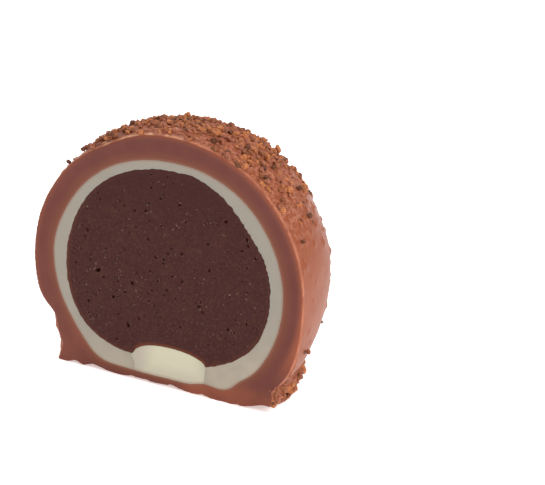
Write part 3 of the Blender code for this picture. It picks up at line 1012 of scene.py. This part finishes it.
def coating_skin(sizes):
    """The coating's outside as a closed mesh, down to the plate and over its whole ball."""
    bumps = coating_bumps(sizes)
    angles = coating_angles()
    rings = [[coating_point(angle, height, bumps, sizes) for angle in angles] for height in coating_heights()]
    edge = rings[-1]
    for i in range(1, BASE_RINGS):
        share = 1.0 - i / BASE_RINGS
        ring = [Vector((point.x * share, point.y * share, 0.0)) for point in edge]
        for point in ring:
            point.z = base_relief(point, sizes.base_lift)
        rings.append(ring)
    top = coating_point(0.0, BALL_CENTRE.z + BALL_RADIUS, bumps, sizes)
    return ringed_piece("milk_coating_fine", top, rings, Vector((0.0, 0.0, 0.0)))


def torn_reach(direction, layer, ragged):
    """Distance to a layer's surface with the unevenness of its line at the cut."""
    reach = layer.reach(direction)
    place = direction * reach
    torn = max(0.0, min(1.0, 1.6 * (direction.x + direction.z) - 1.0))
    uneven = (0.45 + 0.9 * torn) * noise.noise(place / (0.42 * MM)) + 0.45 * noise.noise(place / (0.85 * MM))
    uneven += 0.5 * noise.noise(place / (2.6 * MM))
    return reach + ragged * uneven


def inner_ball(name, layer, ragged, grow=0.0):
    """The outside of the shell or of the ganache, closest meshed where the knife meets it."""
    centre = Vector((INNER_OFFSET, 0.0, layer.centre_z))
    turn = Matrix.Rotation(layer.tilt, 3, "Y")
    at_cut = math.degrees(math.acos(CUT_DEPTH / layer.radius))
    # Degrees from the front pole: wide in front of the knife, close where it passes, wider behind it
    spans = [20.0, 45.0, at_cut - 9.0]
    spans += [at_cut - 5.0 + 0.7 * i for i in range(14)]
    spans += [at_cut + 8.0 + i * (88.0 - at_cut + 8.0) / 12 for i in range(13)]
    spans += [115.0 + 10.0 * i for i in range(6)]
    rings = []
    for span in sorted(span for span in spans if span < 172.0):
        away = math.radians(span)
        ring = []
        for column in range(INNER_COLUMNS):
            around = 2 * math.pi * column / INNER_COLUMNS
            direction = Vector((
                math.sin(away) * math.cos(around), -math.cos(away), math.sin(away) * math.sin(around)))
            ring.append(centre + turn @ (direction * (torn_reach(direction, layer, ragged) + grow)))
        rings.append(ring)
    front, back = Vector((0.0, -1.0, 0.0)), Vector((0.0, 1.0, 0.0))
    first = centre + front * (layer.plain_reach(front) + grow)
    last = centre + back * (layer.plain_reach(back) + grow)
    return ringed_piece(name, first, rings, last)


def plug_body(name, grow=0.0):
    """The plug as a turned form with a soft dome, straight sides and slightly uneven edges."""
    radius = PLUG_RADIUS + grow
    profile = []
    for i in range(1, 25):
        angle = math.pi / 2 * (1.0 - i / 24)
        rise = (PLUG_TOP_Z - PLUG_SHOULDER_Z + grow) * math.sin(angle)
        profile.append((radius * math.cos(angle), PLUG_SHOULDER_Z + rise))
    profile += [(radius, PLUG_SHOULDER_Z * (1.0 - i / 12)) for i in range(1, 13)]
    rings = []
    for r, z in profile + [(0.6 * radius, 0.0)]:
        slope = max(0.0, 1.0 - abs(z - PLUG_SHOULDER_Z + 0.5 * MM) / (1.4 * MM)) ** 2
        ring = []
        for column in range(PLUG_COLUMNS):
            outward = outward_at(2 * math.pi * column / PLUG_COLUMNS)
            point = outward * r + Vector((PLUG_OFFSET, 0.0, z))
            uneven = 0.12 * MM * noise.noise(point / (2.2 * MM)) * min(1.0, r / (2.0 * MM))
            uneven += PLUG_SLOPE * slope * max(0.0, -outward.x) ** 2
            ring.append(point + outward * uneven)
        rings.append(ring)
    top = Vector((PLUG_OFFSET, 0.0, PLUG_TOP_Z + grow))
    return ringed_piece(name, top, rings, Vector((PLUG_OFFSET, 0.0, 0.0)))


def outline_depth(x, z, edge):
    """How far a place of the cut face lies inside the coating's outline."""
    plane = CUT_DEPTH - edge
    around = math.atan2(z - BALL_CENTRE.z, x)
    flat = math.sqrt(BALL_RADIUS ** 2 - plane ** 2)
    rim = BALL_CENTRE + Vector((flat * math.cos(around), -plane, flat * math.sin(around)))
    thinner = hollow(rim) - wave(rim) + dent(rim)
    reach = math.sqrt((BALL_RADIUS - thinner) ** 2 - plane ** 2)
    inside_ball = reach - math.hypot(x, z - BALL_CENTRE.z)
    if z > FOOT_HEIGHT + FOOT_EDGE:
        return inside_ball
    foot = foot_radius(math.atan2(-plane, x), max(0.0, z))
    return max(inside_ball, math.sqrt(max(0.0, foot ** 2 - plane ** 2)) - abs(x))


def cut_relief(x, z, sizes):
    """How far the cut face lies behind the knife's plane at a place."""
    place = Vector((x, 0.0, z))
    depth = sizes.knife_drag * (1.0 + noise.noise(place / (5.0 * MM)))
    depth += 0.25 * sizes.knife_drag * noise.noise(place / (0.9 * MM))
    uneven = 0.3 * noise.noise(place / (1.5 * MM)) + 0.35 * noise.noise(place / (0.5 * MM))
    on_top = max(0.0, 1.0 - math.hypot(x - 1.5 * MM, z - 26.0 * MM) / (8.0 * MM))
    edge = sizes.cut_edge * (1.0 + uneven + 1.2 * on_top)
    inside = outline_depth(x, z, edge)
    if inside < edge:
        short = min(1.0, 1.0 - inside / edge)
        depth += edge * (1.0 - math.sqrt(1.0 - short * short))
    in_ganache = GANACHE.depth(x, z)
    if in_ganache > 0.0:
        soft = min(1.0, in_ganache / (0.5 * MM))
        grain = noise.noise(place / (0.32 * MM)) + 0.7 * noise.noise(place / (0.75 * MM))
        depth += soft * (0.03 * MM + 0.020 * MM * grain)
    return depth


def knife_block(sizes):
    """The block that the knife took off, with the cut face's relief on its back."""
    low_x, high_x = -17.0 * MM, 17.0 * MM
    low_z, high_z = -1.5 * MM, 28.0 * MM
    columns = round((high_x - low_x) / KNIFE_STEP)
    rows = round((high_z - low_z) / KNIFE_STEP)
    xs = [low_x + (high_x - low_x) * i / columns for i in range(columns + 1)]
    zs = [low_z + (high_z - low_z) * i / rows for i in range(rows + 1)]
    verts = [(x, -CUT_DEPTH + cut_relief(x, z, sizes), z) for z in zs for x in xs]
    wide = columns + 1
    faces = [
        (row * wide + i, (row + 1) * wide + i, (row + 1) * wide + i + 1, row * wide + i + 1)
        for row in range(rows) for i in range(columns)
    ]
    border = list(range(columns))
    border += [row * wide + columns for row in range(rows)]
    border += [rows * wide + i for i in range(columns, 0, -1)]
    border += [row * wide for row in range(rows, 0, -1)]
    front = len(verts)
    verts += [(verts[i][0], -20.0 * MM, verts[i][2]) for i in border]
    count = len(border)
    for i in range(count):
        following = (i + 1) % count
        faces.append((border[i], border[following], front + following, front + i))
    faces.append(tuple(front + i for i in range(count)))
    block = new_piece("knife_block", verts, faces)
    shape = bmesh.new()
    shape.from_mesh(block.data)
    bmesh.ops.recalc_face_normals(shape, faces=shape.faces)
    shape.to_mesh(block.data)
    shape.free()
    return block


def unit_lump():
    """Points and triangles of a unit ball."""
    shape = bmesh.new()
    bmesh.ops.create_icosphere(shape, subdivisions=2, radius=1.0)
    points = np.array([vert.co[:] for vert in shape.verts])
    triangles = np.array([[vert.index for vert in face.verts] for face in shape.faces])
    shape.free()
    return points, triangles


def broken_lump(points, rng):
    """A unit ball's points, drawn in to rough breaks that face eight random ways."""
    reach = np.full(len(points), 1.15)
    for plane in range(8):
        facing = np.array([rng.gauss(0.0, 1.0) for axis in range(3)])
        facing /= np.linalg.norm(facing)
        along = points @ facing
        offset = rng.uniform(0.52, 1.0)
        near = along > 0.05
        reach[near] = np.minimum(reach[near], offset / along[near])
    start = Vector((rng.uniform(0.0, 60.0), 0.0, 0.0))
    rough = np.array([noise.noise(Vector(point) * 2.4 + start) for point in points])
    return points * (reach * (1.0 + 0.22 * rough))[:, None]


def lumps_piece(name, lumps):
    """One mesh of many lumps, each given by its points and triangles."""
    verts, faces, start = [], [], 0
    for points, triangles in lumps:
        verts.append(points)
        faces.append(triangles + start)
        start += len(points)
    return new_piece(name, np.concatenate(verts).tolist(), np.concatenate(faces).tolist())


def placed_lump(template, place, rng, proud, stretches=(0.78, 1.25), cut=True):
    """A broken lump, stretched, turned and set on its place, and cut off at the knife's plane."""
    point, direction, radius = place
    points, triangles = template
    shaped = broken_lump(points, rng)
    stretch = np.array([rng.uniform(*stretches) for axis in range(3)])
    turn = np.array(Euler([rng.uniform(0.0, 2 * math.pi) for axis in range(3)]).to_matrix())
    middle = np.array(point + direction * proud * radius)
    placed = middle + (shaped * stretch * radius) @ turn.T
    if cut:
        placed[:, 1] = np.maximum(placed[:, 1], -CUT_DEPTH + 0.03 * MM)
    return placed, triangles


def clump(template, place, rng):
    """A crumb with smaller grains baked to its sides, as points and triangles of each."""
    point, direction, radius = place
    yield placed_lump(template, (point, direction, 0.86 * radius), rng, CRUMB_PROUD)
    for grain in range(rng.randrange(2, 5)):
        side = any_direction(rng).normalized()
        side = (side + 0.25 * direction).normalized()
        beside = point + side * 0.62 * radius
        if beside.y > -CUT_DEPTH + 0.5 * radius:
            grain_place = (beside, direction, rng.uniform(0.35, 0.6) * radius)
            yield placed_lump(template, grain_place, rng, CRUMB_PROUD)


def face_place(rng):
    """A random place on the cut face, roughly over the ganache."""
    return rng.uniform(-12.0, 12.0) * MM, rng.uniform(2.0, 23.0) * MM


def clear_of_plug(x, z, reach):
    """Whether a place of the cut face lies above the plug, or beyond a reach from its middle."""
    return math.hypot(x - PLUG_OFFSET, z - PLUG_SHOULDER_Z) > reach or z > ABOVE_PLUG


def pit_places(count):
    """Places and radii of the pits in the cut ganache: the largest as seen, the rest in seeded places."""
    places = [(x * MM, (z + PIT_LEVEL) * MM, radius * MM) for x, z, radius in SEEN_PITS]
    rng = random.Random(PIT_SEED)
    while len(places) < len(SEEN_PITS) + count:
        x, z = face_place(rng)
        radius = (0.07 + 0.13 * rng.random() ** 2.0) * MM
        inside = GANACHE.depth(x, z) > 0.5 * MM
        apart = all(
            math.hypot(x - other_x, z - other_z) > 1.4 * (radius + other_radius)
            for other_x, other_z, other_radius in places
        )
        if inside and apart and clear_of_plug(x, z, 5.3 * MM):
            places.append((x, z, radius))
    return places


def pit_lumps(sizes):
    """The lumps that leave the pits, as one mesh."""
    rng = random.Random(PIT_SHAPE_SEED)
    template = unit_lump()
    lumps = []
    for x, z, radius in pit_places(sizes.pits):
        back = rng.uniform(-0.25, 0.25) * radius
        place = (Vector((x, -CUT_DEPTH + 0.06 * MM + back, z)), Vector((0.0, 1.0, 0.0)), radius)
        lumps.append(placed_lump(template, place, rng, 0.0, (0.7, 1.25), cut=False))
    return lumps_piece("pits", lumps)


def grain_lumps(sizes):
    """The pale grains of the cut ganache, half of them beside its pits."""
    rng = random.Random(GRAIN_SEED)
    template = unit_lump()
    pits = pit_places(sizes.pits)
    lumps = []
    while len(lumps) < sizes.grains:
        if rng.random() < BESIDE_PITS_SHARE:
            x, z, radius = rng.choice(pits)
            angle = rng.uniform(0.0, 2 * math.pi)
            x += 1.15 * radius * math.cos(angle)
            z += 1.15 * radius * math.sin(angle)
        else:
            x, z = face_place(rng)
        if GANACHE.depth(x, z) < 0.35 * MM or not clear_of_plug(x, z, 5.2 * MM):
            continue
        size = (0.035 + 0.075 * rng.random() ** 2) * MM
        surface = -CUT_DEPTH + cut_relief(x, z, sizes)
        place = (Vector((x, surface + 0.35 * size, z)), Vector((0.0, 1.0, 0.0)), size)
        lumps.append(placed_lump(template, place, rng, 0.0, (0.6, 1.5), cut=False))
    return lumps


class PRALINE_OT_layers(bpy.types.Operator):
    """Make the coating, the shell, the ganache and the plug, all cut by one knife"""

    bl_idname = "praline.add_layers"
    bl_label = "Chocolate layers"

    def execute(self, context):
        sizes = context.scene.praline_sizes
        colours = context.scene.praline_colours
        smooth, ragged = 0.35 * sizes.ragged, sizes.ragged
        coating = coating_skin(sizes)
        carve(coating, inner_ball("seat", SHELL, smooth))
        carve(coating, knife_block(sizes))

        shell = inner_ball("white_shell_fine", SHELL, smooth, -HAIRLINE)
        carve(shell, inner_ball("seat", GANACHE, ragged))
        carve(shell, plug_body("hole"))
        carve(shell, knife_block(sizes))

        ganache = inner_ball("ganache_fine", GANACHE, ragged, -HAIRLINE)
        carve(ganache, plug_body("hole"))
        carve(ganache, knife_block(sizes))
        carve(ganache, pit_lumps(sizes))

        plug = plug_body("base_plug_fine", -HAIRLINE)
        carve(plug, inner_ball("form", SHELL, smooth, -HAIRLINE), "INTERSECT")
        carve(plug, knife_block(sizes))

        finished(coating, milk_finish(colours), "milk_coating")
        finished(shell, white_finish(colours), "white_shell")
        finished(ganache, ganache_finish(colours), "ganache")
        finished(plug, ivory_finish(colours), "base_plug")
        return {"FINISHED"}


class PRALINE_OT_crumbs(bpy.types.Operator):
    """Scatter the nougat crumbs: the large ones of the solids and the fine ones between them"""

    bl_idname = "praline.add_crumbs"
    bl_label = "Nougat crumbs"

    def execute(self, context):
        sizes = context.scene.praline_sizes
        colours = context.scene.praline_colours
        tones = (
            (colours.crumb_dark, toned(colours.crumb_dark, 0.7)),
            (colours.crumb_brown, colours.crumb_dark),
            (colours.crumb_amber, colours.crumb_brown),
            (colours.crumb_coated, colours.milk_deep),
        )
        large = crumb_places(random.Random(CRUMB_SEED))
        rng = random.Random(FINE_SEED)
        fine = fine_crumb_places(rng, sizes.fine_crumbs, large)
        lumps = {kind: [] for kind in CRUMB_KINDS}
        template = unit_lump()
        for place in large:
            lumps[random_kind(rng, place[0])].extend(clump(template, place, rng))
        for point, radius, kind in SEEN_CRUMBS:
            point = Vector(point) * MM
            outward = (point - BALL_CENTRE).normalized()
            raised = point + outward * SEEN_PROUD * radius * MM
            lumps[kind].extend(clump(template, (raised, outward, radius * MM), rng))
        for place in fine:
            kind = random_kind(rng, place[0])
            lumps[kind].append(placed_lump(template, place, rng, rng.uniform(0.1, 0.8)))
        for kind, (base, dark) in zip(CRUMB_KINDS, tones):
            piece = lumps_piece(kind, lumps[kind])
            finished(piece, crumb_finish(kind, base, dark), "milk_coating", sharp=28.0)
        return {"FINISHED"}


class PRALINE_OT_grains(bpy.types.Operator):
    """Set pale grains in the cut face of the ganache"""

    bl_idname = "praline.add_grains"
    bl_label = "Ganache grains"

    def execute(self, context):
        piece = lumps_piece("ganache_grains", grain_lumps(context.scene.praline_sizes))
        finished(piece, grain_finish(GRAIN_COLOUR), "ganache")
        return {"FINISHED"}


def soft_light(name, power, size, place):
    """A square soft light that looks at the praline's middle."""
    data = bpy.data.lights.new(name, "AREA")
    data.energy = power
    data.size = size
    light = add_object(name, data)
    light.location = place
    light.rotation_euler = (Vector(place) - at_mm(0.0, 0.0, 12.0)).to_track_quat("Z", "Y").to_euler()


class PRALINE_OT_stage(bpy.types.Operator):
    """Set up the floor, the white room, the lights and the camera"""

    bl_idname = "praline.add_stage"
    bl_label = "Stage"

    def execute(self, context):
        scene = context.scene
        stage = scene.praline_stage
        self.add_floor(scene.praline_colours, stage.floor_glow)
        self.add_room(scene, stage.room_light)
        soft_light("key_light", stage.key_power, 0.30, (0.44, -0.10, 0.34))
        soft_light("fill_light", stage.fill_power, 0.40, (-0.22, -0.50, 0.28))
        soft_light("top_light", stage.top_power, 0.30, (-0.22, 0.12, 0.46))
        self.add_camera(scene, stage)
        scene.view_settings.view_transform = "Standard"
        return {"FINISHED"}

    def add_floor(self, colours, glow):
        floor = new_piece("floor", [], [])
        shape = bmesh.new()
        bmesh.ops.create_circle(shape, cap_ends=True, segments=96, radius=0.9)
        shape.to_mesh(floor.data)
        shape.free()
        floor.location.z = -0.02 * MM
        floor.data.materials.append(floor_finish(colours, glow))
        floor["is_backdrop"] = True

    def add_room(self, scene, brightness):
        scene.world = bpy.data.worlds.new("white_room")
        scene.world.use_nodes = True
        tree = scene.world.node_tree
        background = tree.nodes["Background"]
        background.inputs["Color"].default_value = (1.0, 1.0, 1.0, 1.0)
        path = tree.nodes.new("ShaderNodeLightPath")
        seen = tree.nodes.new("ShaderNodeMapRange")
        tree.links.new(path.outputs["Is Camera Ray"], seen.inputs["Value"])
        seen.inputs["To Min"].default_value = brightness
        seen.inputs["To Max"].default_value = 1.0
        tree.links.new(seen.outputs["Result"], background.inputs["Strength"])

    def add_camera(self, scene, stage):
        across = outward_at(stage.azimuth)
        back = Vector((
            math.sin(stage.azimuth) * math.cos(stage.elevation),
            -math.cos(stage.azimuth) * math.cos(stage.elevation),
            math.sin(stage.elevation),
        ))
        right = across * math.cos(stage.roll) + back.cross(across) * math.sin(stage.roll)
        data = bpy.data.cameras.new("camera")
        data.sensor_width = SENSOR_MM
        data.lens = FOCAL_PIXELS / max(IMAGE_WIDTH, IMAGE_HEIGHT) * SENSOR_MM
        data.clip_start = 10 * MM
        data.clip_end = 10.0
        camera = add_object("camera", data)
        place = Matrix((right, back.cross(right), back)).transposed().to_4x4()
        place.translation = CAMERA_TARGET + back * CAMERA_DISTANCE
        camera.matrix_world = place
        scene.camera = camera


STEPS = (PRALINE_OT_layers, PRALINE_OT_crumbs, PRALINE_OT_grains, PRALINE_OT_stage)


class PRALINE_PT_panel(bpy.types.Panel):
    """The praline's sizes, colours and building steps"""

    bl_label = "Praline"
    bl_idname = "PRALINE_PT_panel"
    bl_space_type = "VIEW_3D"
    bl_region_type = "UI"
    bl_category = "Praline"

    def draw(self, context):
        scene = context.scene
        for group in (scene.praline_sizes, scene.praline_colours, scene.praline_stage):
            box = self.layout.box()
            for name in group.bl_rna.properties.keys():
                if name not in ("rna_type", "name"):
                    box.prop(group, name)
        for step in STEPS:
            self.layout.operator(step.bl_idname)


CLASSES = (PralineSizes, PralineColours, PralineStage, *STEPS, PRALINE_PT_panel)


def register():
    for cls in CLASSES:
        bpy.utils.register_class(cls)
    bpy.types.Scene.praline_sizes = bpy.props.PointerProperty(type=PralineSizes)
    bpy.types.Scene.praline_colours = bpy.props.PointerProperty(type=PralineColours)
    bpy.types.Scene.praline_stage = bpy.props.PointerProperty(type=PralineStage)


def unregister():
    del bpy.types.Scene.praline_stage
    del bpy.types.Scene.praline_colours
    del bpy.types.Scene.praline_sizes
    for cls in reversed(CLASSES):
        bpy.utils.unregister_class(cls)


def main():
    register()
    bpy.ops.praline.add_layers()
    bpy.ops.praline.add_crumbs()
    bpy.ops.praline.add_grains()
    bpy.ops.praline.add_stage()
    boxes = {"cad": SOLID_BOX, "visual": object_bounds()}
    {name: [list(corner) for corner in box] for name, box in boxes.items()}


if __name__ == "__main__":
    main()
